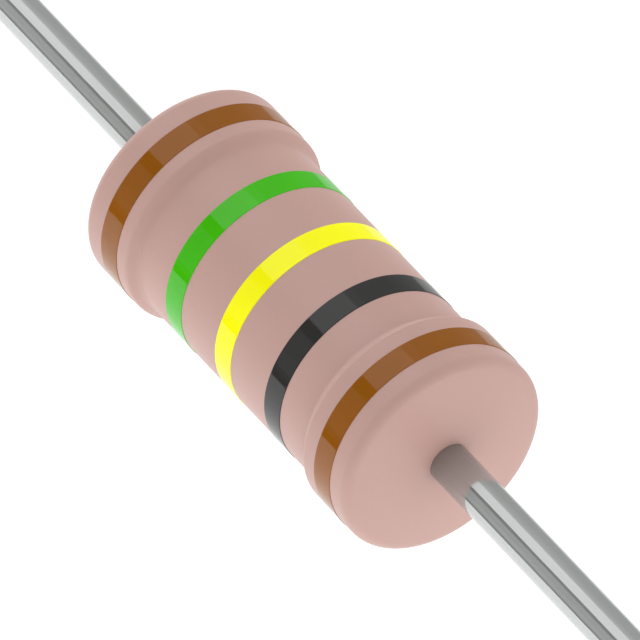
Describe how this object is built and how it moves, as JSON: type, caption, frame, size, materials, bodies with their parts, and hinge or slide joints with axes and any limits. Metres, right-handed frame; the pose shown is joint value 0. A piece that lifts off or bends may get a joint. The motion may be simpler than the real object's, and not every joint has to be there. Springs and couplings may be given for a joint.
{
  "type": "axial resistor",
  "caption": "Leaded film resistor: a coated dog-bone body with colour code rings and a stiff tinned wire from each end, soldered through a circuit board.",
  "frame": {"origin": "centre of the coated body, on its axis", "axes": "+X along the axis, from the first digit's band towards the tolerance band; Y and Z are across it, and every direction round the axis is alike"},
  "size_m": [0.065, 0.0044, 0.0044],
  "materials": {
    "coating": "satin",
    "brown_ink": "gloss",
    "green_ink": "gloss",
    "yellow_ink": "gloss",
    "black_ink": "gloss",
    "tinned_wire": "polished",
    "plated_steel": "satin",
    "metal_film": "satin",
    "alumina": "matte"
  },
  "bodies": {
    "root": {"coating": "coating", "band_first_digit": "brown_ink", "band_second_digit": "green_ink", "band_third_digit": "yellow_ink", "band_multiplier": "black_ink", "band_tolerance": "brown_ink", "lead_left": "tinned_wire", "lead_right": "tinned_wire", "end_cap_left": "plated_steel", "end_cap_right": "plated_steel", "resistive_film": "metal_film", "ceramic_core": "alumina"}
  },
  "joints": []
}
